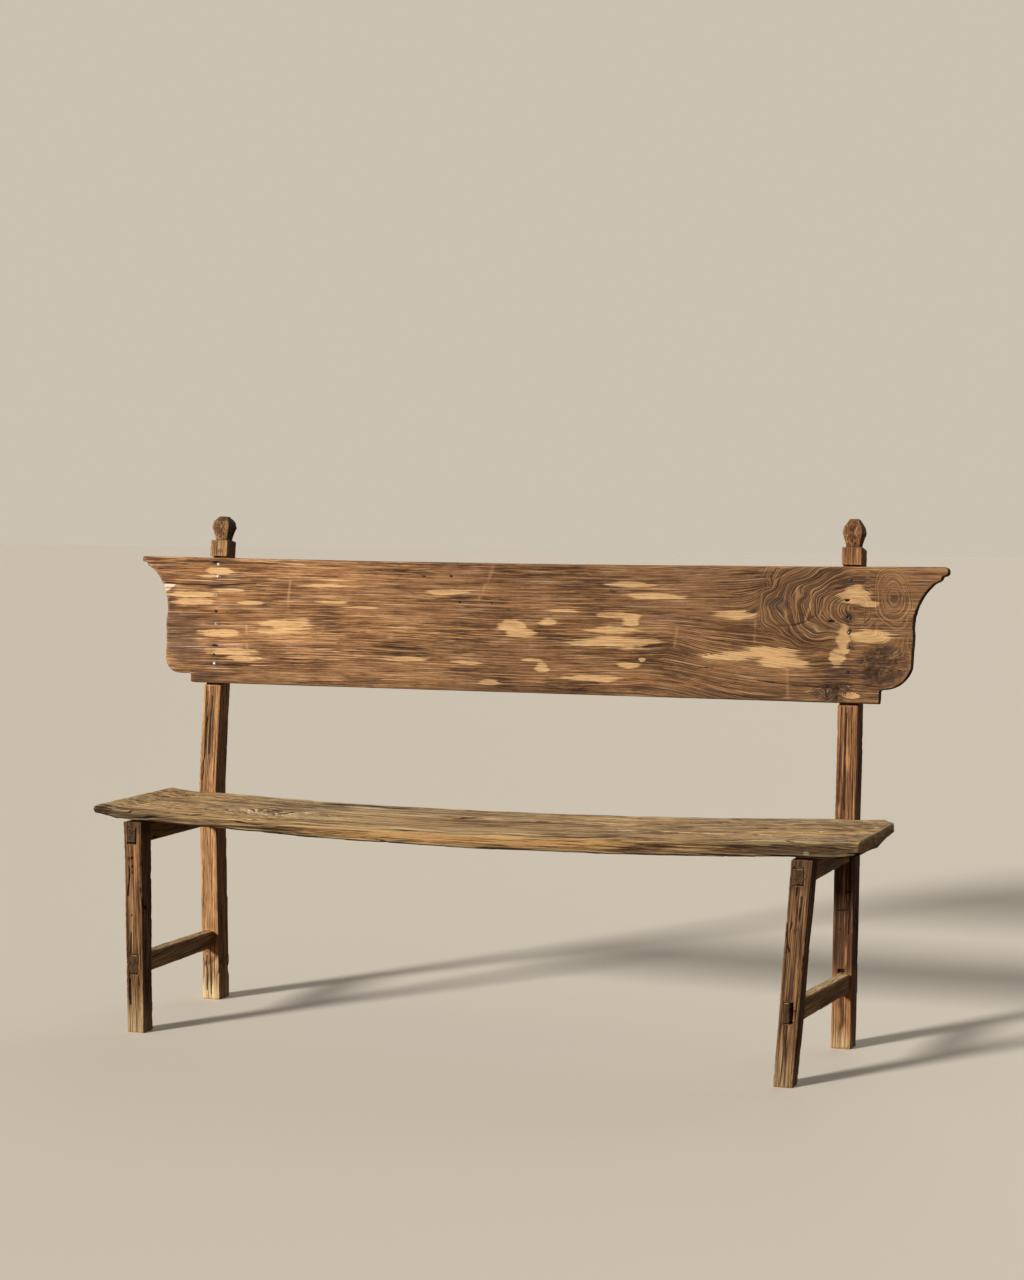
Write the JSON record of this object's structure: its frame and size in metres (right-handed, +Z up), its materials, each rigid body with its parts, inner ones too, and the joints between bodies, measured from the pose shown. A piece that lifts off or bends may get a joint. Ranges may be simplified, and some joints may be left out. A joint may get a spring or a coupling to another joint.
{
  "type": "bench",
  "caption": "Long rustic plank bench with splayed front legs, raked rear posts with carved finials, side stretchers and a nailed back board with moulded ends.",
  "frame": {"origin": "on the floor, midway along the back board and midway between the fronts of the front feet and the backs of the finials", "axes": "+X along the bench to the right of someone facing it, +Y from the front to the back, +Z up"},
  "size_m": [1.866, 0.4902, 1.1011],
  "materials": {
    "seat": "weathered and worn, bare",
    "board": "dark old patina, flaked to bare wood in patches",
    "frame": "dark old patina, bleached feet",
    "nails": "dull rusted wrought iron"
  },
  "bodies": {
    "root": {"seat_plank": "seat", "back_board": "board", "back_post_left": "frame", "back_post_right": "frame", "front_leg_left": "frame", "front_leg_right": "frame", "seat_rail_left": "frame", "seat_rail_right": "frame", "stretcher_left": "frame", "stretcher_right": "frame", "board_nails_left": "nails", "board_nails_right": "nails", "seat_nails_left": "nails", "seat_nails_right": "nails"}
  },
  "joints": []
}
